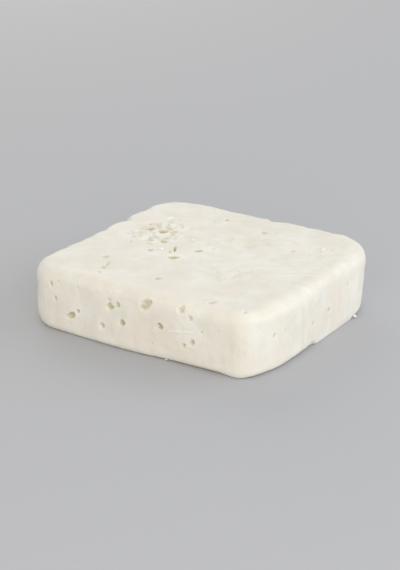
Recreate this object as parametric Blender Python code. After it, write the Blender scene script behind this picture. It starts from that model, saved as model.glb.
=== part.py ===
"""A hand-cut slab of fresh white brined cheese, lying on its cut underside.

Lengths are in metres and angles in radians. The origin is the middle of the underside. +X runs along the
front side, +Y runs to the back and +Z is up. The slab is one solid: a plan with five unequal corners, raised
to its thickness, with soft rims, low lumps where the curd was pressed, nicks where it broke away from the top
rim, torn flakes on the top, and the eyes that its cut faces open.
"""

import math
import random

import bmesh
import bpy
from mathutils import Matrix, Quaternion, Vector, noise
from mathutils.bvhtree import BVHTree

MM = 0.001
TOUCHING = 0.01 * MM

# Driving dimensions
WIDTH = 84 * MM
DEPTH = 76 * MM
THICKNESS = 20 * MM

# Plan: the front side bows out a little, the left side leans in towards the back, and the front right
# corner is cut back along the right side
FRONT_BOW = 1.4 * MM
FRONT_BOW_AT = -4 * MM
LEFT_LEAN = 1.4 * MM
BLUNT_ALONG_FRONT = 4.4 * MM
BLUNT_ALONG_SIDE = 12.4 * MM
RADIUS_FRONT_LEFT = 11 * MM
RADIUS_FRONT_BOW = 80 * MM
RADIUS_FRONT_RIGHT = 4.5 * MM
RADIUS_BLUNT = 20 * MM
RADIUS_BACK_RIGHT = 16 * MM
RADIUS_BACK_LEFT = 11 * MM
STEPS_ROUND_CORNER = 7

# Rims: the knife leaves them soft, and the foot is worn back more at two corners, each given as
# (which corner, how far the foot is drawn in, how far from the corner, how far up)
TOP_RIM = 3.8 * MM
UNDER_RIM = 2.3 * MM
STEPS_ROUND_RIM = 4
WORN_FEET = (
    ((1, 1), 1.8 * MM, 18 * MM, 9 * MM),
    ((-1, -1), 1.1 * MM, 26 * MM, 5 * MM),
)

# Skin: spacing of the cuts that let it follow the relief, and the shortest edge that is kept
CUT_SPACING = 4.2 * MM
SHORTEST_EDGE = 0.7 * MM

# Relief: broad pressed lumps and smaller curds, as (size of one lump, height either way)
RELIEF = ((17 * MM, 0.45 * MM), (6 * MM, 0.22 * MM))
FLAT_FOOT = 2 * MM
TOP_DISH = 0.35 * MM

# Eyes on the front, top and right side: (place along, place up, width, height, turn in degrees, depth),
# lengths in millimetres. Along and up are +X and +Z on the front, +Y and +Z on the right side, and +X and +Y
# on the top
FRONT_EYES = (
    (-30.9, 15.2, 1.4, 2.4, 0, 0.6),
    (-29.4, 10.8, 1.3, 2.0, 0, 0.5),
    (-23.5, 6.6, 3.0, 2.1, 20, 1.9),
    (-20.7, 8.7, 1.2, 1.1, 0, 0.9),
    (-11.8, 6.2, 2.2, 1.8, 0, 0.6),
    (-9.2, 13.3, 2.3, 2.6, -15, 1.7),
    (-6.0, 14.1, 1.9, 1.9, 0, 1.1),
    (3.9, 16.4, 4.2, 2.9, 45, 1.9),
    (-4.3, 8.9, 2.0, 1.9, 0, 1.7),
    (8.8, 10.8, 2.1, 2.0, 0, 1.7),
    (16.0, 17.0, 2.0, 2.5, 10, 1.3),
    (19.1, 15.4, 1.8, 1.7, 0, 0.9),
    (19.8, 8.0, 1.8, 2.5, -15, 1.1),
    (16.9, 6.5, 1.5, 1.9, -10, 0.9),
)
TOP_EYES = (
    (-9.4, -2.8, 1.5, 4.4, 30, 1.6),
    (-5.6, -9.1, 3.4, 2.0, 30, 1.2),
    (-21.2, 8.4, 2.4, 2.6, 30, 1.5),
    (-26.0, 8.5, 2.6, 1.8, 30, 0.9),
    (-16.0, 0.9, 2.2, 1.8, 30, 0.9),
    (-20.3, -0.4, 1.8, 1.6, 30, 0.8),
    (-15.1, -7.9, 1.6, 2.2, 30, 0.9),
    (-2.4, -0.2, 2.6, 1.6, 30, 0.8),
    (0.6, 3.8, 1.8, 1.5, 30, 0.7),
    (-18.8, -27.4, 1.8, 2.4, 30, 0.9),
    (-23.4, -19.7, 2.0, 1.7, 30, 0.8),
    (-17.4, -31.6, 1.5, 1.4, 0, 0.6),
    (0.3, -26.6, 2.2, 1.8, 30, 0.9),
    (24.0, -33.8, 2.8, 1.8, 30, 0.8),
    (35.1, -34.5, 1.5, 1.5, 0, 0.7),
    (32.4, 21.8, 2.2, 1.6, 30, 0.9),
    (22.6, 14.8, 2.3, 2.2, 0, 1.0),
    (6.5, 24.5, 2.8, 1.9, -20, 1.1),
    (-9.5, 28.2, 2.0, 2.4, 15, 1.0),
)
RIGHT_EYES = (
    (-27.5, 11.3, 1.5, 2.1, 0, 0.7),
    (-6.3, 7.4, 1.5, 1.9, 0, 0.6),
    (3.4, 8.5, 1.9, 1.6, 0, 1.0),
    (15.4, 12.6, 1.6, 1.7, 0, 0.7),
)

# Flakes of curd that the knife tore up and laid on the top: (place along, place up, length, width, height,
# turn in degrees), in millimetres. The middle of a flake lies below the skin by this share of its height
TOP_FLAKES = (
    (-25.9, 18.6, 3.8, 1.5, 0.45, 65),
    (-22.0, 14.4, 2.8, 1.7, 0.40, 20),
    (-26.8, 12.6, 2.4, 1.5, 0.35, 100),
    (-16.4, 8.6, 2.9, 1.6, 0.45, 35),
    (-17.9, 4.0, 2.5, 1.4, 0.35, 70),
    (-23.4, 4.4, 2.7, 1.4, 0.35, 25),
    (-12.6, -5.6, 2.3, 1.3, 0.30, 30),
    (29.6, 20.4, 2.6, 1.6, 0.40, 40),
)
FLAKE_SINK_SHARE = 0.8

# Shallow nicks where curd broke away from the top rim: (place along the side, length, depth), in
# millimetres, and how steeply a nick looks out of the rim
LEFT_NICKS = (
    (25.6, 4.4, 0.7),
    (19.2, 4.0, 0.7),
    (-0.5, 6.4, 1.3),
    (-10.8, 7.6, 1.8),
    (-23.4, 6.6, 1.9),
)
BACK_NICKS = (
    (23.0, 5.2, 0.9),
    (-3.5, 7.0, 1.5),
    (-16.0, 4.6, 0.8),
)
NICK_STEEPNESS = math.radians(52)

# Eyes on the back and left sides, by a seeded draw
DRAWN_EYES_PER_SIDE = 10
DRAWN_SEED = 41
EYE_WIDTHS_MM = (1.7, 3.6)
EYE_HEIGHT_SHARES = (0.6, 1.1)
EYE_TURNS = (-40, 40)
EYE_DEPTH_SHARES = (0.35, 0.75)
EYE_MARGIN = 7 * MM
EYE_EDGE = 5 * MM
EYE_GAP = 1.2 * MM

# Eyes, nicks and flakes are lumpy blobs. An eye's blob is sunk, so that its mouth is narrower than it is
EYE_SINK_SHARE = 0.22
BLOB_LUMPS = 0.26
BLOB_LUMPS_ACROSS = 1.3
BLOB_ROUNDS = 2

CURD_COLOUR = (0.83, 0.79, 0.69, 1.0)
CURD_ROUGHNESS = 0.5
SHARP_FROM = math.radians(50)

# Each face that eyes open on: (along, up, inward)
FRONT = (Vector((1, 0, 0)), Vector((0, 0, 1)), Vector((0, 1, 0)))
RIGHT = (Vector((0, 1, 0)), Vector((0, 0, 1)), Vector((-1, 0, 0)))
BACK = (Vector((-1, 0, 0)), Vector((0, 0, 1)), Vector((0, -1, 0)))
LEFT = (Vector((0, -1, 0)), Vector((0, 0, 1)), Vector((1, 0, 0)))
TOP = (Vector((1, 0, 0)), Vector((0, 1, 0)), Vector((0, 0, -1)))


def clear_scene():
    for obj in list(bpy.data.objects):
        bpy.data.objects.remove(obj)


def plan_corners():
    """The corners of the plan, anticlockwise from the front left, each with the radius that rounds it."""
    right, back = WIDTH / 2, DEPTH / 2
    return (
        (Vector((-right, -back, 0)), RADIUS_FRONT_LEFT),
        (Vector((FRONT_BOW_AT, -back - FRONT_BOW, 0)), RADIUS_FRONT_BOW),
        (Vector((right - BLUNT_ALONG_FRONT, -back, 0)), RADIUS_FRONT_RIGHT),
        (Vector((right, BLUNT_ALONG_SIDE - back, 0)), RADIUS_BLUNT),
        (Vector((right, back, 0)), RADIUS_BACK_RIGHT),
        (Vector((LEFT_LEAN - right, back, 0)), RADIUS_BACK_LEFT),
    )


def round_plan(bm, verts, corners):
    """Rounds each corner of the plan. A bevel starts where an arc of the corner's radius leaves its sides."""
    for i, vert in enumerate(verts):
        here, radius = corners[i]
        to_last = corners[i - 1][0] - here
        to_next = corners[(i + 1) % len(corners)][0] - here
        start = radius / math.tan(to_last.angle(to_next) / 2)
        bmesh.ops.bevel(
            bm,
            geom=[vert],
            offset=start,
            offset_type="OFFSET",
            segments=STEPS_ROUND_CORNER,
            profile=0.5,
            affect="VERTICES",
            material=-1,
        )


def round_rim(bm, height, width):
    """Rounds the rim of the flat face that lies at this height."""
    near = [v for v in bm.verts if abs(v.co.z - height) < TOUCHING]
    rim = [e for e in bm.edges if e.verts[0] in near and e.verts[1] in near]
    bmesh.ops.bevel(
        bm,
        geom=rim,
        offset=width,
        offset_type="OFFSET",
        segments=STEPS_ROUND_RIM,
        profile=0.5,
        affect="EDGES",
        material=-1,
    )


def cut_skin(bm):
    """Cuts the skin by evenly spaced planes across each axis, then clears the slivers that they leave."""
    spans = (
        (Vector((1, 0, 0)), -WIDTH / 2, WIDTH),
        (Vector((0, 1, 0)), -DEPTH / 2, DEPTH),
        (Vector((0, 0, 1)), UNDER_RIM, THICKNESS - UNDER_RIM - TOP_RIM),
    )
    for axis, start, length in spans:
        count = round(length / CUT_SPACING)
        for i in range(1, count):
            place = axis * (start + length * i / count)
            geometry = bm.verts[:] + bm.edges[:] + bm.faces[:]
            bmesh.ops.bisect_plane(bm, geom=geometry, plane_co=place, plane_no=axis)
    bmesh.ops.remove_doubles(bm, verts=bm.verts[:], dist=SHORTEST_EDGE)
    under = [f for f in bm.faces if f.calc_center_median().z < TOUCHING]
    bmesh.ops.dissolve_faces(bm, faces=under)


def eased(share):
    """A smooth step from 0 to 1."""
    share = min(max(share, 0.0), 1.0)
    return share * share * (3 - 2 * share)


def relief(place):
    """How far the skin stands out at a place: the sum of the pressed lumps and the curds."""
    return sum(height * noise.noise(place / size) for size, height in RELIEF)


def shape_skin(bm):
    """Gives the skin its lumps, the top its slight dish, and two corners their worn feet."""
    bm.normal_update()
    moves = {}
    for vert in bm.verts:
        height = vert.co.z
        across = Vector((2 * vert.co.x / WIDTH, 2 * vert.co.y / DEPTH))
        rise = eased(height / FLAT_FOOT)
        move = vert.normal * relief(vert.co) * rise
        move.z -= TOP_DISH * eased(height / THICKNESS) * (1 - min(across.length, 1.0))
        plan = Vector((vert.co.x, vert.co.y, 0))
        for (side_x, side_y), pull, reach, worn_height in WORN_FEET:
            corner = Vector((side_x * WIDTH / 2, side_y * DEPTH / 2, 0))
            near = eased(1 - (plan - corner).length / reach)
            low = eased(1 - height / worn_height)
            move -= plan.normalized() * pull * near * low
        moves[vert] = move
    for vert, move in moves.items():
        vert.co += move


def centre_on_foot(bm):
    """Moves the slab so that the middle of its plan is over the origin."""
    xs = [v.co.x for v in bm.verts]
    ys = [v.co.y for v in bm.verts]
    middle = Vector(((min(xs) + max(xs)) / 2, (min(ys) + max(ys)) / 2, 0))
    bmesh.ops.translate(bm, verts=bm.verts[:], vec=-middle)


def slab_body():
    """The slab before its eyes are opened."""
    bm = bmesh.new()
    corners = plan_corners()
    verts = [bm.verts.new(place) for place, _ in corners]
    bm.faces.new(verts)
    round_plan(bm, verts, corners)
    raised = bmesh.ops.extrude_face_region(bm, geom=bm.faces[:])
    lifted = [g for g in raised["geom"] if isinstance(g, bmesh.types.BMVert)]
    bmesh.ops.translate(bm, verts=lifted, vec=(0, 0, THICKNESS))
    bmesh.ops.recalc_face_normals(bm, faces=bm.faces[:])
    round_rim(bm, THICKNESS, TOP_RIM)
    round_rim(bm, 0, UNDER_RIM)
    cut_skin(bm)
    shape_skin(bm)
    bmesh.ops.triangulate(bm, faces=bm.faces[:])
    centre_on_foot(bm)
    return bm


def drawn_eyes(draw, half_length):
    """Eyes drawn at random over one side, none nearer to another than the gap."""
    eyes = []
    while len(eyes) < DRAWN_EYES_PER_SIDE:
        width = draw.uniform(*EYE_WIDTHS_MM)
        height = width * draw.uniform(*EYE_HEIGHT_SHARES)
        along = draw.uniform(-1, 1) * (half_length - EYE_MARGIN) / MM
        up = draw.uniform(EYE_EDGE / MM, (THICKNESS - EYE_EDGE) / MM)
        apart = (math.hypot(along - eye[0], up - eye[1]) - (width + eye[2]) / 2 for eye in eyes)
        if all(space > EYE_GAP / MM for space in apart):
            depth = math.sqrt(width * height) * draw.uniform(*EYE_DEPTH_SHARES)
            eyes.append((along, up, width, height, draw.uniform(*EYE_TURNS), depth))
    return eyes


def add_blob(bm, place, axes, half_sizes):
    """Adds a lumpy blob at a place, with its half sizes in millimetres along the three axes."""
    frame = Matrix(axes).transposed()
    blob = bmesh.ops.create_icosphere(bm, subdivisions=BLOB_ROUNDS, radius=1.0)["verts"]
    for vert in blob:
        lump = 1 + BLOB_LUMPS * noise.noise(vert.co * BLOB_LUMPS_ACROSS + place / MM)
        vert.co = place + frame @ (Vector(half_sizes) * vert.co * lump * MM)


def place_on(skin, face, place_along, place_up):
    """Where a place on a face, in millimetres, lies on the skin, and the skin's normal there."""
    along, up, inward = face
    start = along * place_along * MM + up * place_up * MM - inward * WIDTH
    place, normal, _, _ = skin.ray_cast(start, inward)
    return place, normal


def turned_axes(face, normal, turn):
    """The axes of a blob on the skin: its length, turned by this many degrees, its width, and the normal."""
    across = face[1].cross(normal).normalized()
    across.rotate(Quaternion(normal, math.radians(turn)))
    return across, normal.cross(across), normal


def add_eye(bm, skin, face, eye):
    """Adds the blob that hollows one eye, on the skin where its place on the face points inwards."""
    place_along, place_up, width, height, turn, depth = eye
    place, normal = place_on(skin, face, place_along, place_up)
    half_depth = depth / (1 + EYE_SINK_SHARE)
    centre = place - normal * half_depth * EYE_SINK_SHARE * MM
    add_blob(bm, centre, turned_axes(face, normal, turn), (width / 2, height / 2, half_depth))


def add_flake(bm, skin, face, flake):
    """Adds the lump of one flake, which stands out of the skin by the flake's height."""
    place_along, place_up, length, width, height, turn = flake
    place, normal = place_on(skin, face, place_along, place_up)
    half_height = height * (1 + FLAKE_SINK_SHARE)
    centre = place - normal * height * FLAKE_SINK_SHARE * MM
    add_blob(bm, centre, turned_axes(face, normal, turn), (length / 2, width / 2, half_height))


def add_nick(bm, skin, face, nick):
    """Adds the ball that breaks one nick out of the rim: its radius gives the nick its length and depth."""
    along, up, inward = face
    place_along, length, depth = nick
    radius = (length * length / 4 + depth * depth) / (2 * depth)
    outward = up * math.sin(NICK_STEEPNESS) - inward * math.cos(NICK_STEEPNESS)
    side, _ = place_on(skin, face, place_along, THICKNESS / 2 / MM)
    middle_of_rim = side + inward * TOP_RIM + up * (THICKNESS / 2 - TOP_RIM)
    centre = middle_of_rim + outward * (TOP_RIM + (radius - depth) * MM)
    add_blob(bm, centre, (along, outward.cross(along), outward), (radius, radius, radius))


def hollow_cutter(skin):
    """One mesh of all the blobs that open the eyes and break the nicks, hidden, for the slab's Boolean."""
    draw = random.Random(DRAWN_SEED)
    by_face = (
        (FRONT, FRONT_EYES),
        (TOP, TOP_EYES),
        (RIGHT, RIGHT_EYES),
        (BACK, drawn_eyes(draw, WIDTH / 2)),
        (LEFT, drawn_eyes(draw, DEPTH / 2)),
    )
    bm = bmesh.new()
    for face, eyes in by_face:
        for eye in eyes:
            add_eye(bm, skin, face, eye)
    for face, nicks in ((LEFT, LEFT_NICKS), (BACK, BACK_NICKS)):
        for nick in nicks:
            add_nick(bm, skin, face, nick)
    return guide_object("hollows", bm)


def flake_lumps(skin):
    """One mesh of all the flakes' lumps, hidden, for the slab's Boolean."""
    bm = bmesh.new()
    for flake in TOP_FLAKES:
        add_flake(bm, skin, TOP, flake)
    return guide_object("flakes", bm)


def mesh_object(name, bm):
    mesh = bpy.data.meshes.new(name)
    bm.to_mesh(mesh)
    bm.free()
    obj = bpy.data.objects.new(name, mesh)
    bpy.context.scene.collection.objects.link(obj)
    return obj


def guide_object(name, bm):
    """A mesh that only a Boolean uses: it is hidden, and drawn as a wire."""
    guide = mesh_object(name, bm)
    guide.hide_render = True
    guide.display_type = "WIRE"
    return guide


def add_boolean(obj, name, operation, other):
    made = obj.modifiers.new(name, "BOOLEAN")
    made.operation = operation
    made.solver = "EXACT"
    made.object = other


def curd_material():
    material = bpy.data.materials.new("white_curd")
    material.use_nodes = True
    shader = material.node_tree.nodes["Principled BSDF"]
    shader.inputs["Base Color"].default_value = CURD_COLOUR
    shader.inputs["Roughness"].default_value = CURD_ROUGHNESS
    shader.inputs["Metallic"].default_value = 0.0
    return material


def main():
    clear_scene()
    body = slab_body()
    skin = BVHTree.FromBMesh(body)
    slab = mesh_object("cheese_slab", body)
    slab.data.materials.append(curd_material())
    slab.data.shade_smooth()
    slab.data.set_sharp_from_angle(angle=SHARP_FROM)
    add_boolean(slab, "flakes laid on", "UNION", flake_lumps(skin))
    add_boolean(slab, "eyes and nicks", "DIFFERENCE", hollow_cutter(skin))


main()
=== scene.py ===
import math
import random
from collections import namedtuple

import bmesh
import bpy
from mathutils import Matrix, Quaternion, Vector, kdtree, noise
from mathutils.bvhtree import BVHTree


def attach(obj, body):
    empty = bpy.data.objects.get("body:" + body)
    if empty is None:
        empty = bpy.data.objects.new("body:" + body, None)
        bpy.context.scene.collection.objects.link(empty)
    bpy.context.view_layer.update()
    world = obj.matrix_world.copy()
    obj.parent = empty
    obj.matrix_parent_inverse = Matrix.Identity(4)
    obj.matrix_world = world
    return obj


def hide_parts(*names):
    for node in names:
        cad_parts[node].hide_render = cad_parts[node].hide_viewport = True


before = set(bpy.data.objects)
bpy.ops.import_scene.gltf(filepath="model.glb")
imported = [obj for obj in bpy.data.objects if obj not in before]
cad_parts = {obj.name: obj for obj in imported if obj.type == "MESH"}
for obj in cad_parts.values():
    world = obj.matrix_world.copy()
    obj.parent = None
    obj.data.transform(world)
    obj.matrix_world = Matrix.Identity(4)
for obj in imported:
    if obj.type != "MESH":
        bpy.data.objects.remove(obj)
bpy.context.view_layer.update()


# Slab
# A slab of brined white cheese: curd pressed into a block, ripened in brine and cut by hand with a long
# knife. The cuts open the eyes that gas left in the curd, and curd breaks away from the rim where the
# knife leaves it.
MM = 0.001
slab_width = 84 * MM
slab_depth = 76 * MM
slab_thickness = 20 * MM
# The front side bows out a little, the left side leans in toward the back, and the front right corner is
# blunt and full
front_bow = 1.4 * MM
front_bow_at = -4 * MM
left_lean = 1.4 * MM
blunt_along_front = 4.4 * MM
blunt_along_side = 12.4 * MM
corner_out = 0.4 * MM
top_rim = 3.8 * MM
under_rim = 2.3 * MM
plan_steps = 10
rim_steps = 6
# Points as near to a height as this count as on it
touching = 0.01 * MM

half_width = slab_width / 2
half_depth = slab_depth / 2
# Corners of the plan, as (place, radius of the round)
plan_corners = (
    (Vector((-half_width, -half_depth, 0)), 11 * MM),
    (Vector((front_bow_at, -half_depth - front_bow, 0)), 80 * MM),
    (Vector((half_width - blunt_along_front + corner_out, -half_depth - corner_out, 0)), 6.5 * MM),
    (Vector((half_width, blunt_along_side - half_depth, 0)), 20 * MM),
    (Vector((half_width, half_depth, 0)), 16 * MM),
    (Vector((left_lean - half_width, half_depth, 0)), 11 * MM),
)

curd = bmesh.new()
plan_verts = [curd.verts.new(place) for place, radius in plan_corners]
curd.faces.new(plan_verts)
for i, vert in enumerate(plan_verts):
    here, radius = plan_corners[i]
    to_last = plan_corners[i - 1][0] - here
    to_next = plan_corners[(i + 1) % len(plan_corners)][0] - here
    bmesh.ops.bevel(
        curd,
        geom=[vert],
        offset=radius / math.tan(to_last.angle(to_next) / 2),
        offset_type="OFFSET",
        segments=plan_steps,
        profile=0.5,
        affect="VERTICES",
        material=-1,
    )
raised = bmesh.ops.extrude_face_region(curd, geom=curd.faces[:])["geom"]
lifted = [g for g in raised if isinstance(g, bmesh.types.BMVert)]
bmesh.ops.translate(curd, verts=lifted, vec=(0, 0, slab_thickness))
bmesh.ops.recalc_face_normals(curd, faces=curd.faces[:])


def round_rim(bm, height, width):
    """Rounds the rim of the flat face that lies at this height."""
    rim = [e for e in bm.edges if all(abs(v.co.z - height) < touching for v in e.verts)]
    bmesh.ops.bevel(
        bm,
        geom=rim,
        offset=width,
        offset_type="OFFSET",
        segments=rim_steps,
        profile=0.5,
        affect="EDGES",
        material=-1,
    )


round_rim(curd, slab_thickness, top_rim)
round_rim(curd, 0, under_rim)

# The skin: even small squares that follow the curd's relief, and wide ones on the flat underside
skin_square = 0.5 * MM
smoothing_rounds = 2
smoothing_share = 0.5
underside_rounds = 4


def add_object(name, data):
    """Adds an object to the scene."""
    obj = bpy.data.objects.new(name, data)
    bpy.context.scene.collection.objects.link(obj)
    return obj


def smooth_once(bm, verts, share):
    """Moves each point this share of the way to the middle of its neighbours."""
    axes = {"use_axis_x": True, "use_axis_y": True, "use_axis_z": True}
    bmesh.ops.smooth_vert(bm, verts=verts, factor=share, **axes)


def even_skin(bm, square):
    """The same body in a skin of even squares."""
    mesh = bpy.data.meshes.new("body")
    bm.to_mesh(mesh)
    bm.free()
    body = add_object("body", mesh)
    remesh = body.modifiers.new("even skin", "REMESH")
    remesh.mode = "VOXEL"
    remesh.voxel_size = square
    even = bmesh.new()
    even.from_object(body, bpy.context.evaluated_depsgraph_get())
    bpy.data.objects.remove(body)
    return even


curd = even_skin(curd, skin_square)
flat_verts = [v for v in curd.verts if v.co.z < touching]
upper_verts = [v for v in curd.verts if v.co.z > touching]
for vert in flat_verts:
    vert.co.z = 0
for _ in range(smoothing_rounds):
    smooth_once(curd, upper_verts, smoothing_share)
inner_flat = [v for v in flat_verts if all(e.other_vert(v).co.z < touching for e in v.link_edges)]
bmesh.ops.unsubdivide(curd, verts=inner_flat, iterations=underside_rounds)

# Broad relief of the pressed curd, as (size of one lump, height either way). It dies away toward the foot.
# The top is slightly dished, and falls toward the left side from this far left of the middle
lumps = ((17 * MM, 0.45 * MM), (6 * MM, 0.22 * MM))
flat_foot = 2 * MM
top_dish = 0.35 * MM
left_fall = 0.75 * MM
left_fall_from = 18 * MM

# The foot is worn back at two corners: (which corner, how far it is drawn in, how far the wear reaches from
# the corner, how far it reaches up)
worn_feet = (
    ((1, 1), 2.2 * MM, 18 * MM, 16 * MM),
    ((-1, -1), 0.5 * MM, 26 * MM, 5 * MM),
)

# Along these stretches the foot has kept the sharp edge of its cut, which the rest has lost: (which way it
# looks, how far out it lies, where it starts and ends along the side, over what length it starts and ends,
# how sharp it is, from 0 for the round to 1 for a square edge)
sharp_feet = (
    (Vector((0, -1, 0)), 38 * MM, -45 * MM, 14 * MM, 6 * MM, 14 * MM, 0.5),
    (Vector((0.40, -0.92, 0)), 49 * MM, 10 * MM, 21 * MM, 5 * MM, 4 * MM, 0.7),
    (Vector((1, 0, 0)), 42 * MM, -6.2 * MM, 22 * MM, 2.4 * MM, 5 * MM, 0.95),
)
sharp_reach = 4 * MM


def eased(share):
    """A smooth step from 0 to 1."""
    share = min(max(share, 0.0), 1.0)
    return share * share * (3 - 2 * share)


def relief(place, sizes):
    """How far the skin stands out at a place: the sum of its lumps."""
    return sum(height * noise.noise(place / size) for size, height in sizes)


def sharp_foot_move(place):
    """How a point of the foot's round stands out where the foot has kept its edge."""
    move = Vector((0, 0, 0))
    low = 1 - min(place.z / under_rim, 1.0)
    round_gap = under_rim * (1 - math.sqrt(1 - low * low))
    for outward, lies_out, start, end, start_width, end_width, sharpness in sharp_feet:
        along = place.dot(Vector((0, 0, 1)).cross(outward))
        within = eased((along - start) / start_width) * eased((end - along) / end_width)
        outer = eased((place.dot(outward) - lies_out + under_rim) / sharp_reach + 1)
        move += outward * round_gap * within * outer * sharpness
    return move


def lump_move(vert):
    """How broad lumps, the top's dish and fall, and the state of the foot move one point of the skin."""
    height = vert.co.z
    across = Vector((vert.co.x / half_width, vert.co.y / half_depth))
    move = vert.normal * relief(vert.co, lumps) * eased(height / flat_foot)
    move.z -= top_dish * eased(height / slab_thickness) * (1 - min(across.length, 1.0))
    leftward = (-vert.co.x - left_fall_from) / (half_width - left_fall_from)
    move.z -= left_fall * eased(height / slab_thickness) * eased(leftward)
    move += sharp_foot_move(vert.co)
    plan = Vector((vert.co.x, vert.co.y, 0))
    for (side_x, side_y), pull, reach, worn_height in worn_feet:
        corner = Vector((side_x * half_width, side_y * half_depth, 0))
        near = eased(1 - (plan - corner).length / reach)
        low = eased(1 - height / worn_height)
        move -= plan.normalized() * pull * near * low
    return move


def move_skin(bm, move_of):
    """Moves every point of the skin at once, each by what its own place and normal give."""
    bm.normal_update()
    moves = [move_of(vert) for vert in bm.verts]
    for vert, move in zip(bm.verts, moves):
        vert.co += move


move_skin(curd, lump_move)
skin_x = [v.co.x for v in curd.verts]
skin_y = [v.co.y for v in curd.verts]
plan_middle = Vector(((min(skin_x) + max(skin_x)) / 2, (min(skin_y) + max(skin_y)) / 2, 0))
bmesh.ops.translate(curd, verts=curd.verts[:], vec=-plan_middle)

# Each side of the slab, as its directions (along, up, inward)
FRONT = (Vector((1, 0, 0)), Vector((0, 0, 1)), Vector((0, 1, 0)))
RIGHT = (Vector((0, 1, 0)), Vector((0, 0, 1)), Vector((-1, 0, 0)))
BACK = (Vector((-1, 0, 0)), Vector((0, 0, 1)), Vector((0, -1, 0)))
LEFT = (Vector((0, -1, 0)), Vector((0, 0, 1)), Vector((1, 0, 0)))
TOP = (Vector((1, 0, 0)), Vector((0, 1, 0)), Vector((0, 0, -1)))

# Nicks in the top rim: (place along the side, length, depth), in millimetres. Each looks outward and up, at
# the angle nick_steepness
left_nicks = (
    (26.0, 5.0, 1.3),
    (18.8, 5.0, 1.5),
    (-1.8, 5.6, 1.6),
    (-13.4, 9.4, 2.3),
    (-24.4, 6.6, 2.4),
)
back_nicks = (
    (23.0, 5.2, 0.9),
    (-3.5, 7.0, 1.5),
    (-16.0, 4.6, 0.8),
)
nick_steepness = math.radians(52)

# Eyes: (place along the side, place up it, width, height, turn in degrees, depth), in millimetres
front_eyes = (
    (-30.9, 15.2, 1.5, 2.6, 0, 1.0),
    (-29.4, 10.8, 1.4, 2.2, 0, 0.9),
    (-23.5, 6.6, 3.6, 2.1, 32, 1.8),
    (-20.9, 8.6, 1.5, 1.5, 30, 1.2),
    (-11.8, 6.2, 2.3, 1.9, 0, 1.2),
    (-8.8, 13.1, 2.3, 2.6, -15, 1.6),
    (-6.0, 14.1, 2.0, 2.3, 0, 1.0),
    (4.1, 16.7, 4.8, 3.6, 45, 1.1),
    (-4.3, 8.9, 2.1, 2.0, 0, 2.0),
    (8.8, 10.8, 2.2, 2.1, 0, 1.7),
    (16.0, 17.3, 2.4, 2.8, 10, 0.8),
    (19.1, 15.4, 2.1, 2.0, 0, 0.7),
    (19.8, 8.0, 1.8, 2.5, -15, 1.1),
    (16.9, 6.5, 1.6, 2.0, -10, 1.0),
)
top_eyes = (
    (-9.3, -2.9, 0.9, 6.4, 30, 1.3),
    (-5.6, -9.1, 3.8, 2.8, 30, 2.6),
    (-21.2, 8.4, 3.3, 4.2, 30, 3.0),
    (-26.0, 8.5, 3.2, 3.2, 30, 2.4),
    (-16.0, 0.9, 2.5, 2.8, 30, 2.0),
    (-20.3, -0.4, 2.4, 3.0, 30, 2.0),
    (-15.1, -7.9, 1.7, 2.5, 30, 1.4),
    (-2.4, -0.2, 2.9, 2.5, 30, 1.9),
    (0.6, 3.8, 1.8, 1.5, 30, 0.7),
    (-18.8, -27.4, 1.9, 3.2, 30, 1.1),
    (-23.4, -19.7, 2.2, 2.4, 30, 1.1),
    (-17.4, -31.6, 1.5, 1.4, 0, 0.8),
    (0.3, -26.6, 2.4, 2.6, 30, 1.4),
    (24.0, -33.8, 3.4, 2.0, 30, 1.0),
    (35.1, -34.5, 1.5, 1.5, 0, 0.5),
    (32.4, 21.8, 2.2, 1.6, 30, 0.9),
    (22.6, 14.8, 2.3, 2.2, 0, 1.0),
    (6.5, 24.5, 2.8, 1.9, -20, 1.1),
    (-9.5, 28.2, 2.0, 2.4, 15, 1.0),
)
right_eyes = (
    (-27.5, 11.3, 1.5, 2.1, 0, 0.6),
    (-6.3, 7.4, 1.5, 1.9, 0, 0.6),
    (3.4, 8.5, 2.0, 1.7, 0, 1.0),
    (15.4, 12.6, 1.6, 1.7, 0, 0.7),
)

# A chip in the foot of the right side, given as the eyes are
foot_chip = (-7.0, 1.0, 3.2, 1.8, 0, 0.7)

# Flakes that the knife tore up and laid on the top, and a thin thread of curd that it smeared across the
# front: (place along, place up, length, width, turn in degrees, height), in millimetres
top_flakes = (
    (-25.9, 18.6, 3.8, 1.5, 65, 0.45),
    (-22.0, 14.4, 2.8, 1.7, 20, 0.40),
    (-26.8, 12.6, 2.4, 1.5, 100, 0.35),
    (-16.4, 8.6, 2.9, 1.6, 35, 0.45),
    (-17.9, 4.0, 2.5, 1.4, 70, 0.35),
    (-23.4, 4.4, 2.7, 1.4, 25, 0.35),
    (-12.6, -5.6, 2.3, 1.3, 30, 0.30),
    (29.6, 20.4, 2.6, 1.6, 40, 0.40),
)
front_thread = (15.8, 10.6, 10.4, 0.8, 9, 0.15)

# Shallow hollows that run into the eyes of the front and the top and widen their mouths, given as the
# eyes are
front_runs = (
    (-9.2, 15.0, 2.2, 1.7, 10, 0.5),
    (-7.6, 13.1, 1.6, 1.2, 0, 0.5),
    (2.6, 15.2, 2.0, 1.6, 30, 0.9),
    (5.3, 17.5, 2.0, 1.5, 40, 0.9),
    (7.8, 10.3, 1.9, 1.9, 0, 0.4),
    (-25.0, 6.1, 1.6, 1.2, 0, 0.7),
    (16.3, 18.3, 1.5, 1.2, 0, 0.5),
)
top_runs = (
    (-19.4, -24.6, 1.7, 7.0, 20, 0.5),
    (-9.0, -6.0, 1.6, 3.4, 30, 0.5),
)

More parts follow.
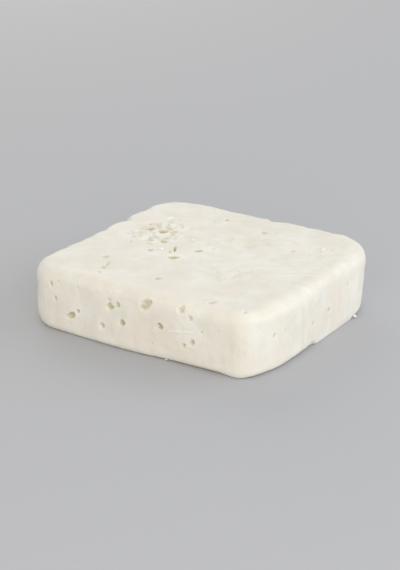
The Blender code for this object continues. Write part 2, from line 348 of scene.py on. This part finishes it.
# Eyes of the back and left sides. Seed and ranges are the solid's own, so they lie where its eyes lie. They
# keep eye_margin to the side's ends and eye_edge to its rims. Widths and the gap are in millimetres
drawn_eyes_per_side = 10
drawn_seed = 41
eye_widths = (1.7, 3.6)
eye_height_shares = (0.6, 1.1)
eye_turns = (-40, 40)
eye_depth_shares = (0.35, 0.75)
eye_margin = 7 * MM
eye_edge = 5 * MM
eye_gap = 1.2


def drawn_eyes(draw, half_length):
    """Eyes drawn over one side, none nearer to another than the gap."""
    eyes = []
    while len(eyes) < drawn_eyes_per_side:
        width = draw.uniform(*eye_widths)
        height = width * draw.uniform(*eye_height_shares)
        along = draw.uniform(-1, 1) * (half_length - eye_margin) / MM
        up = draw.uniform(eye_edge / MM, (slab_thickness - eye_edge) / MM)
        apart = (math.hypot(along - eye[0], up - eye[1]) - (width + eye[2]) / 2 for eye in eyes)
        if all(space > eye_gap for space in apart):
            depth = math.sqrt(width * height) * draw.uniform(*eye_depth_shares)
            eyes.append((along, up, width, height, draw.uniform(*eye_turns), depth))
    return eyes


eye_draw = random.Random(drawn_seed)
eyes_by_side = (
    (FRONT, front_eyes),
    (TOP, top_eyes),
    (RIGHT, right_eyes),
    (BACK, drawn_eyes(eye_draw, half_width)),
    (LEFT, drawn_eyes(eye_draw, half_depth)),
)

# Pits: pinholes between the eyes, in fields given as (side, how many, half length, half height, middle
# along, middle up), in millimetres. They crowd where the curd tore on the top
pit_widths = (0.5, 1.3)
pit_turns = (-90, 90)
pit_depth_shares = (0.25, 0.6)
pit_fields = (
    (FRONT, 18, 37, 7.5, 0, 10),
    (TOP, 34, 36, 33, 0, 0),
    (TOP, 22, 8, 9, -21, 7),
    (RIGHT, 8, 30, 7, 0, 10),
    (BACK, 26, 36, 7.5, 0, 10),
    (LEFT, 26, 32, 7.5, 0, 10),
)
mark_seed = 7

# A mark is a hollow in the skin, or a flake on it. Its mouth is one lobe or a few that run together, each
# as (middle, size, depth), in shares of the mark's own half width, half height and depth. Its wall takes up
# a share of the way from its lip to its middle
Mark = namedtuple("Mark", "place normal across upward half_width half_height depth wall lobes")
side_lobes = 2
main_lobe = 1.05
side_lobe_offsets = (0.35, 0.65)
side_lobe_sizes = (0.45, 0.7)
side_lobe_depths = (0.3, 0.8)
eye_walls = (0.7, 1.0)
pit_wall = 0.9
flake_wall = 0.3


def place_on(skin, side, place_along, place_up):
    """Where a place on a side, in millimetres, lies on the skin, and the skin's normal there."""
    along, up, inward = side
    start = along * place_along * MM + up * place_up * MM - inward * slab_width
    place, normal, _, _ = skin.ray_cast(start, inward)
    return place, normal


def lay_mark(skin, side, sizes, wall, lobe_count, draw):
    """A mark laid out on the skin, from its sizes in millimetres as the lists of eyes give them."""
    place_along, place_up, width, height, turn, depth = sizes
    place, normal = place_on(skin, side, place_along, place_up)
    across = side[1].cross(normal).normalized()
    across.rotate(Quaternion(normal, math.radians(turn)))
    lobes = [(Vector((0, 0, 0)), main_lobe if lobe_count else 1.0, 1.0)]
    for _ in range(lobe_count):
        angle = draw.uniform(0, math.tau)
        middle = Vector((math.cos(angle), math.sin(angle), 0)) * draw.uniform(*side_lobe_offsets)
        lobes.append((middle, draw.uniform(*side_lobe_sizes), draw.uniform(*side_lobe_depths)))
    return Mark(
        place=place,
        normal=normal,
        across=across,
        upward=normal.cross(across),
        half_width=width * MM / 2,
        half_height=height * MM / 2,
        depth=depth * MM,
        wall=wall,
        lobes=lobes,
    )


skin = BVHTree.FromBMesh(curd)
mark_draw = random.Random(mark_seed)
eyes = []
for side, sizes_of_eyes in eyes_by_side:
    for sizes in sizes_of_eyes:
        wall = mark_draw.uniform(*eye_walls)
        eyes.append(lay_mark(skin, side, sizes, wall, side_lobes, mark_draw))
eyes.append(lay_mark(skin, RIGHT, foot_chip, flake_wall, side_lobes, mark_draw))
for side, runs in ((FRONT, front_runs), (TOP, top_runs)):
    for sizes in runs:
        eyes.append(lay_mark(skin, side, sizes, pit_wall, 0, mark_draw))
pits = []
for side, count, half_length, half_height, middle_along, middle_up in pit_fields:
    for _ in range(count):
        place_along = middle_along + mark_draw.uniform(-1, 1) * half_length
        place_up = middle_up + mark_draw.uniform(-1, 1) * half_height
        width = mark_draw.uniform(*pit_widths)
        height = width * mark_draw.uniform(*eye_height_shares)
        turn = mark_draw.uniform(*pit_turns)
        depth = width * mark_draw.uniform(*pit_depth_shares)
        sizes = (place_along, place_up, width, height, turn, depth)
        pits.append(lay_mark(skin, side, sizes, pit_wall, 0, mark_draw))
flakes = []
for side, torn_up in ((TOP, top_flakes), (FRONT, (front_thread,))):
    for sizes in torn_up:
        flakes.append(lay_mark(skin, side, sizes, flake_wall, side_lobes, mark_draw))

# The top tore in patches where the knife dragged on it: (middle, radius, height of the torn curd), in
# millimetres
torn_patches = (
    (Vector((-21, 7, 0)), 12.0, 0.32),
    (Vector((15, -11, 0)), 10.0, 0.13),
    (Vector((3, 9, 0)), 13.0, 0.09),
    (Vector((30, 21, 0)), 4.5, 0.16),
)

# The skin is made finer round each mark and nick, and in this share of the first torn patch, and once more
# close round the eyes
torn_fine_share = 0.75
wide_margin = 0.35 * MM
close_margin = 0.1 * MM
nick_reach = 3.0 * MM


def refine(bm, spots):
    """Halves the squares of the skin round each spot, given as (place, reach)."""
    faces = bm.faces[:]
    tree = kdtree.KDTree(len(faces))
    for i, face in enumerate(faces):
        tree.insert(face.calc_center_median(), i)
    tree.balance()
    near = {faces[i] for place, reach in spots for _, i, _ in tree.find_range(place, reach)}
    edges = {e for face in near for e in face.edges}
    bmesh.ops.subdivide_edges(bm, edges=list(edges), cuts=1, use_grid_fill=True)


def rim_middle(skin, side, place_along):
    """The middle of the top rim's round, from which a nick is measured, and the way that a nick looks."""
    along, up, inward = side
    face_place, _ = place_on(skin, side, place_along, slab_thickness / 2 / MM)
    outward = up * math.sin(nick_steepness) - inward * math.cos(nick_steepness)
    return face_place + inward * top_rim + up * (slab_thickness / 2 - top_rim), outward


spots = [(mark.place, max(mark.half_width, mark.half_height)) for mark in eyes + pits + flakes]
wide_spots = [(place, reach + wide_margin) for place, reach in spots]
top_middle = Vector((0, 0, slab_thickness))
worst_middle, worst_radius, worst_height = torn_patches[0]
wide_spots.append((worst_middle * MM + top_middle, worst_radius * MM * torn_fine_share))
for side, nicks in ((LEFT, left_nicks), (BACK, back_nicks)):
    for place_along, length, depth in nicks:
        middle, outward = rim_middle(skin, side, place_along)
        wide_spots.append((middle + outward * top_rim, nick_reach))
refine(curd, wide_spots)
refine(curd, [(place, reach + close_margin) for place, reach in spots[:len(eyes)]])

# Fine relief: small curds everywhere, the knife's lines across the top, the lines that it dragged down the
# left and right sides, and the torn patches. Lines and torn curd are given by their size along the knife's
# way, across it and up, with their height or share. How soon they die away on the rims, facing_power says
small_curds = ((2.4 * MM, 0.10 * MM), (1.2 * MM, 0.05 * MM))
knife_turn = math.radians(29.8)
knife_lines = (
    (Vector((34 * MM, 1.9 * MM, 9 * MM)), 0.10 * MM),
    (Vector((18 * MM, 0.9 * MM, 9 * MM)), 0.06 * MM),
)
drag_line = Vector((4 * MM, 2.4 * MM, 40 * MM))
drag_depth = 0.10 * MM
torn_sizes = (
    (Vector((3.0 * MM, 4.2 * MM, 2 * MM)), 1.3),
    (Vector((1.3 * MM, 1.9 * MM, 1 * MM)), 0.9),
)
# A patch fades out over its outer half, along a ragged edge, and its low spots are darkened with painted
# shade
torn_fade = 2
torn_edge = 0.9
torn_edge_lump = 4 * MM
torn_low_shade = 0.7
torn_low_power = 3
facing_power = 4
knife_frame = Matrix.Rotation(-knife_turn, 3, "Z")
torn_layer = curd.verts.layers.float.new("torn")
# How much painted shade darkens each point, in the hollows and in the torn patches' low spots
hollow_shade_layer = curd.verts.layers.float.new("hollow")


def stretched(place, sizes):
    """Noise whose lumps have their own size along each axis."""
    return noise.noise(Vector(p / s for p, s in zip(place, sizes)))


def fine_move(vert):
    """How the small curds, the knife's marks and the torn patches move one point of the skin."""
    out = relief(vert.co, small_curds)
    upright = max(vert.normal.z, 0) ** facing_power
    along_knife = knife_frame @ vert.co
    for sizes, height in knife_lines:
        out += height * stretched(along_knife, sizes) * upright
    for middle, radius, height in torn_patches:
        away = Vector((vert.co.x, vert.co.y, 0)) / MM - middle
        if away.length < radius:
            ragged = torn_edge * noise.noise(vert.co / torn_edge_lump)
            torn = eased(torn_fade * (1 - away.length / radius) + ragged) * upright
            low = eased(0.5 + sum(share * stretched(along_knife, sizes) for sizes, share in torn_sizes))
            out += height * MM * torn * (0.5 - low)
            torn *= height / worst_height
            # Painted shade in the patch's low spots
            painted_shade = torn * torn_low_shade * low ** torn_low_power
            vert[torn_layer] = max(vert[torn_layer], torn * (1 - low))
            vert[hollow_shade_layer] = max(vert[hollow_shade_layer], painted_shade)
    out += drag_depth * stretched(vert.co, drag_line) * abs(vert.normal.x) ** facing_power
    return vert.normal * out * eased(vert.co.z / flat_foot)


move_skin(curd, fine_move)

# The nicks and marks are sunk into the skin. How deep each point went is kept as painted shade for the curd's
# colour, and where the curd tore is kept too. A nick follows a lumpy ball, and small curds stand in it, in
# full from torn_depth on
ball_lumps = 0.26
ball_lumps_across = 1.3
torn_curds = ((1.3 * MM, 0.30 * MM), (0.6 * MM, 0.12 * MM))
torn_depth = 0.5 * MM
# The mouth of a mark is uneven, as (height, how many across) of its lumps
mouth_lumps = ((0.24, 1.3), (0.08, 3.7))
# The wall of an eye deeper than cave_from leans in under its mouth, and a low lip stands round each mouth
cave_share = 0.15
cave_from = 0.8 * MM
lip_reach = 0.5
lip_height = 0.05 * MM
# Painted shade darkens a hollow's colour toward yellow, in full where it is hollow_deepest deep
hollow_deepest = 1.1 * MM
hollow_shade_power = 1.3
hollow_smoothing = 0.3
# A flake rises from its hinge to its free end. Start and length of that rise are shares of its half length
flake_lift = 1.3
hinge_start = -1.3
hinge_length = 1.5


def vert_tree(bm):
    """A search tree over the points of the skin."""
    bm.verts.ensure_lookup_table()
    tree = kdtree.KDTree(len(bm.verts))
    for i, vert in enumerate(bm.verts):
        tree.insert(vert.co, i)
    tree.balance()
    return tree


def break_nick(bm, tree, side, nick):
    """Sinks the rim to the surface of a lumpy ball that lies outside it."""
    place_along, length, depth = nick
    radius = (length * length / 4 + depth * depth) / (2 * depth) * MM
    middle, outward = rim_middle(skin, side, place_along)
    centre = middle + outward * (top_rim + radius - depth * MM)
    for _, i, _ in tree.find_range(centre, radius * (1 + ball_lumps)):
        vert = bm.verts[i]
        away = vert.co - centre
        lump = 1 + ball_lumps * noise.noise(away.normalized() * ball_lumps_across + centre / MM)
        beside = away - outward * away.dot(outward)
        inside = (radius * lump) ** 2 - beside.length_squared
        if inside <= 0:
            continue
        sunk = away.dot(outward) + math.sqrt(inside)
        if sunk > 0:
            torn = eased(sunk / torn_depth)
            vert.co -= outward * (sunk + torn * relief(vert.co, torn_curds))
            vert[torn_layer] = max(vert[torn_layer], torn)


def uneven(mark, toward):
    """How far a mark's mouth reaches one way, as a share of its even size."""
    seed = mark.place / MM
    return 1 + sum(height * noise.noise(toward * count + seed) for height, count in mouth_lumps)


def mouth_at(mark, spot):
    """The share of its depth that a mark has at a spot, and how far outside its lip the spot lies."""
    share = 0.0
    outside = math.inf
    for middle, size, depth in mark.lobes:
        away = spot - middle
        reached = away.length / (size * uneven(mark, away.normalized()))
        share = max(share, depth * eased((1 - reached) / mark.wall))
        outside = min(outside, reached - 1)
    return share, outside


def in_mouth(mark, place):
    """A place as a spot of a mark's mouth, in shares of its half width and half height."""
    away = place - mark.place
    return Vector((away.dot(mark.across) / mark.half_width, away.dot(mark.upward) / mark.half_height, 0))


def open_hollow(bm, tree, mark):
    """Sinks an eye or a pit into the skin, with a low lip, and a wall that leans in where it is deep."""
    longest = max(mark.half_width, mark.half_height)
    cave = cave_share * min(mark.half_width, mark.half_height) * eased(mark.depth / cave_from - 1)
    for place, i, _ in tree.find_range(mark.place, longest * (1 + lip_reach)):
        vert = bm.verts[i]
        spot = in_mouth(mark, place)
        share, outside = mouth_at(mark, spot)
        if share > 0:
            sideways = (mark.across * spot.x + mark.upward * spot.y).normalized()
            halfway = 4 * share * (1 - share)
            vert.co += sideways * cave * halfway - mark.normal * mark.depth * share
            # Painted shade: the deeper the point, the more its colour darkens toward yellow
            painted_shade = min(mark.depth * share / hollow_deepest, 1.0) ** hollow_shade_power
            vert[hollow_shade_layer] = max(vert[hollow_shade_layer], painted_shade)
        elif outside < lip_reach:
            vert.co += mark.normal * lip_height * math.sin(math.pi * max(outside, 0) / lip_reach)


def lay_flake(bm, tree, mark):
    """Raises a flake from the skin: it is hinged to it at one end, and stands free at the other."""
    longest = max(mark.half_width, mark.half_height)
    for place, i, _ in tree.find_range(mark.place, longest):
        vert = bm.verts[i]
        spot = in_mouth(mark, place)
        share, _ = mouth_at(mark, spot)
        free = eased((spot.x - hinge_start) / hinge_length)
        vert.co += mark.normal * mark.depth * flake_lift * share * free
        vert[torn_layer] = max(vert[torn_layer], share)


rest_tree = vert_tree(curd)
for side, nicks in ((LEFT, left_nicks), (BACK, back_nicks)):
    for nick in nicks:
        break_nick(curd, rest_tree, side, nick)
for mark in flakes:
    lay_flake(curd, rest_tree, mark)
for mark in eyes + pits:
    open_hollow(curd, rest_tree, mark)
smooth_once(curd, [v for v in curd.verts if v[hollow_shade_layer] > 0], hollow_smoothing)
many_sided = [f for f in curd.faces if len(f.verts) > 4]
bmesh.ops.triangulate(curd, faces=many_sided)


def linear(hex_colour):
    """An sRGB hex colour as linear RGBA."""
    channels = (int(hex_colour[i : i + 2], 16) / 255 for i in (1, 3, 5))
    return (*(c / 12.92 if c <= 0.04045 else ((c + 0.055) / 1.055) ** 2.4 for c in channels), 1.0)


def add_node(tree, kind, inputs=None, **settings):
    """Adds a node with its settings, and gives each input a value or a link."""
    made = tree.nodes.new(kind)
    for name, value in settings.items():
        setattr(made, name, value)
    for socket, value in (inputs or {}).items():
        if isinstance(value, bpy.types.NodeSocket):
            tree.links.new(value, made.inputs[socket])
        else:
            made.inputs[socket].default_value = value
    return made


def new_material(name):
    """An empty material, with its node tree."""
    material = bpy.data.materials.new(name)
    material.use_nodes = True
    tree = material.node_tree
    tree.nodes.clear()
    return material, tree


# Fresh brined curd, pressed and cut: close, milky and moist. Light goes a millimetre or two into it, so its
# shade is soft and warm, and a thin film of brine gives it a low gloss that breaks up over the small curds.
# Its tint drifts between cream and pale whey, and torn curd is a little lighter. The eyes, the pits and the
# low spots of the torn patches are darkened toward yellow with painted shade, for the shade that falls in
# them
curd_ivory = linear("#F0EDE3")
curd_cream = linear("#EBE4D7")
curd_whey = linear("#E8E5D7")
curd_torn = linear("#F2EEE3")
painted_hollow_shade = linear("#D8D1B6")
cloud_size = 13 * MM
mottle_size = 4.5 * MM
grain_size = 0.8 * MM
grain_height = 0.04 * MM
streak_length = 16 * MM
streak_width = 1.3 * MM
streak_height = 0.35 * MM
light_reach = 1.6 * MM
red_green_blue_reach = (1.0, 0.88, 0.70)

curd_material, nodes = new_material("fresh_brined_curd")
coords = add_node(nodes, "ShaderNodeTexCoord").outputs["Object"]
cloud = add_node(nodes, "ShaderNodeTexNoise", {"Vector": coords, "Scale": 1 / cloud_size, "Detail": 2.0})
mottle = add_node(nodes, "ShaderNodeTexNoise", {"Vector": coords, "Scale": 1 / mottle_size, "Detail": 3.0})
grain = add_node(nodes, "ShaderNodeTexNoise", {"Vector": coords, "Scale": 1 / grain_size, "Detail": 4.0})
along_cut = add_node(
    nodes,
    "ShaderNodeMapping",
    {
        "Vector": coords,
        "Rotation": (0, 0, knife_turn),
        "Scale": (streak_length, streak_width, streak_length),
    },
    vector_type="TEXTURE",
)
streak = add_node(
    nodes,
    "ShaderNodeTexNoise",
    {"Vector": along_cut.outputs["Vector"], "Scale": 1.0, "Detail": 2.0},
)
# The painted shade of the hollows and of the torn patches' low spots
hollow_shade_share = add_node(nodes, "ShaderNodeAttribute", attribute_name="hollow").outputs["Fac"]
torn_share = add_node(nodes, "ShaderNodeAttribute", attribute_name="torn").outputs["Fac"]
cloud_share = add_node(
    nodes,
    "ShaderNodeMapRange",
    {"Value": cloud.outputs["Fac"], "From Min": 0.35, "From Max": 0.65},
)
mottle_share = add_node(
    nodes,
    "ShaderNodeMapRange",
    {"Value": mottle.outputs["Fac"], "From Min": 0.48, "From Max": 0.72},
)
base = add_node(
    nodes,
    "ShaderNodeMix",
    {0: cloud_share.outputs["Result"], 6: curd_ivory, 7: curd_cream},
    data_type="RGBA",
)
# The last mix paints shade into the eyes, the pits and the torn patches' low spots
for share, colour in (
    (mottle_share.outputs["Result"], curd_whey),
    (torn_share, curd_torn),
    (hollow_shade_share, painted_hollow_shade),
):
    base = add_node(nodes, "ShaderNodeMix", {0: share, 6: base.outputs[2], 7: colour}, data_type="RGBA")
gloss_break = add_node(
    nodes,
    "ShaderNodeMapRange",
    {"Value": mottle.outputs["Fac"], "To Min": 0.40, "To Max": 0.66},
)
grain_bump = add_node(
    nodes,
    "ShaderNodeBump",
    {"Height": grain.outputs["Fac"], "Strength": 1.0, "Distance": grain_height},
)
streak_bump = add_node(
    nodes,
    "ShaderNodeBump",
    {
        "Height": streak.outputs["Fac"],
        "Strength": 1.0,
        "Distance": streak_height,
        "Normal": grain_bump.outputs["Normal"],
    },
)
shader = add_node(
    nodes,
    "ShaderNodeBsdfPrincipled",
    {
        "Base Color": base.outputs[2],
        "Roughness": gloss_break.outputs["Result"],
        "IOR": 1.42,
        "Specular IOR Level": 0.3,
        "Normal": streak_bump.outputs["Normal"],
        "Subsurface Weight": 0.8,
        "Subsurface Radius": red_green_blue_reach,
        "Subsurface Scale": light_reach,
    },
)
add_node(nodes, "ShaderNodeOutputMaterial", {"Surface": shader.outputs["BSDF"]})


def add_mesh(name, bm, material):
    """A finished piece from its bmesh, shaded smooth."""
    mesh = bpy.data.meshes.new(name)
    bm.to_mesh(mesh)
    bm.free()
    mesh.materials.append(material)
    mesh.shade_smooth()
    return add_object(name, mesh)


cut_skin = BVHTree.FromBMesh(curd)
slab = add_mesh("curd_slab", curd, curd_material)
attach(slab, "root")
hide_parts("cheese_slab")


# Crumbs
# Small broken bits of the same curd, which the knife left on the torn top and pushed off at the foot. They
# stick to the slab by their own moisture. Places and widths are in millimetres.
foot_crumbs = (
    (Vector((41.9, 20.0, 0.7)), 1.5),
    (Vector((10.5, -37.7, 0.35)), 0.9),
)
top_crumb_count = 10
top_crumb_middle = (-21, 8)
top_crumb_spread = 7.0
crumb_widths = (0.5, 1.2)
crumb_lift = 0.2
crumb_lumps = 0.6
crumb_lumps_across = 1.4
crumb_shape = Vector((1.0, 0.75, 0.6))
crumb_turns = (0, 3)
crumb_seed = 23


def add_crumb(bm, place, width, draw):
    """Adds one lumpy crumb, turned at random."""
    axis = Vector((draw.uniform(-1, 1), draw.uniform(-1, 1), draw.uniform(-1, 1)))
    turn = Quaternion(axis, draw.uniform(*crumb_turns))
    made = bmesh.ops.create_icosphere(bm, subdivisions=2, radius=width * MM / 2)["verts"]
    for vert in made:
        lump = 1 + crumb_lumps * noise.noise(vert.co.normalized() * crumb_lumps_across + place / MM)
        vert.co = place + turn @ (crumb_shape * vert.co * lump)


crumb_draw = random.Random(crumb_seed)
crumbs = bmesh.new()
for place, width in foot_crumbs:
    add_crumb(crumbs, place * MM, width, crumb_draw)
for _ in range(top_crumb_count):
    along = top_crumb_middle[0] + crumb_draw.gauss(0, 1) * top_crumb_spread
    up = top_crumb_middle[1] + crumb_draw.gauss(0, 1) * top_crumb_spread
    width = crumb_draw.uniform(*crumb_widths)
    place, normal = place_on(cut_skin, TOP, along, up)
    add_crumb(crumbs, place + normal * width * MM * crumb_lift, width, crumb_draw)
crumb_piece = add_mesh("curd_crumbs", crumbs, curd_material)
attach(crumb_piece, "root")


# Floor
# A wide sheet of pale grey card, laid flat under the slab. It is grey enough for the white curd to stand
# clear of its ground.
floor_size = 8.0
floor_gap = 0.05 * MM
card_grey = linear("#BDBEC0")

# Uncoated grey card: its paper fibres leave it matt all over, so it throws back only soft light
card_material, nodes = new_material("grey_card")
shader = add_node(nodes, "ShaderNodeBsdfPrincipled", {"Base Color": card_grey, "Roughness": 0.85})
add_node(nodes, "ShaderNodeOutputMaterial", {"Surface": shader.outputs["BSDF"]})
card = bmesh.new()
bmesh.ops.create_grid(card, x_segments=1, y_segments=1, size=floor_size / 2)
bmesh.ops.translate(card, verts=card.verts[:], vec=(0, 0, -floor_gap))
floor = add_mesh("floor", card, card_material)


# Lights
# The room's own soft light does most of the work, as in a tent of white cloth. Two wide lights stand near
# and low at the front right and the back right, and a weaker one behind the left side shows its broken rim.
room_light = 0.66


def add_light(name, place, size, power, colour):
    """A square light that faces the slab."""
    data = bpy.data.lights.new(name, "AREA")
    data.shape = "SQUARE"
    data.size = size
    data.energy = power
    data.color = linear(colour)[:3]
    light = add_object(name, data)
    light.location = place
    light.rotation_euler = (-Vector(place)).to_track_quat("-Z", "Y").to_euler()
    return light


add_light("front_right", (0.36, -0.55, 0.16), 0.65, 2.75, "#FFF9F4")
add_light("left_rim", (-0.6, 0.5, 0.4), 0.6, 1.6, "#FFF9F2")
# The back right light stays out of the gloss, where it would draw a bright line along the right top rim
back_light = add_light("back_right", (0.55, 0.33, 0.16), 0.65, 2.3, "#E8F1FF")
back_light.visible_glossy = False

world = bpy.data.worlds.new("soft_studio")
world.use_nodes = True
bpy.context.scene.world = world
background = world.node_tree.nodes["Background"]
background.inputs["Color"].default_value = linear("#FFFFFF")
background.inputs["Strength"].default_value = room_light
bpy.context.scene.view_settings.view_transform = "Standard"


# Camera
# It stands to the right of the slab's front side and looks down on its blunt front right corner, with a
# lens long enough to fill the frame with the slab alone.
camera_place = Vector((254.3, -400.6, 199.7)) * MM
camera_aim = Vector((-1.0, -1.5, 9.0)) * MM
camera_lens = 104.0
camera_sensor = 36.0

camera_data = bpy.data.cameras.new("photo_camera")
camera_data.lens = camera_lens
camera_data.sensor_width = camera_sensor
camera = add_object("photo_camera", camera_data)
camera.location = camera_place
camera.rotation_euler = (camera_aim - camera_place).to_track_quat("-Z", "Y").to_euler()
bpy.context.scene.camera = camera
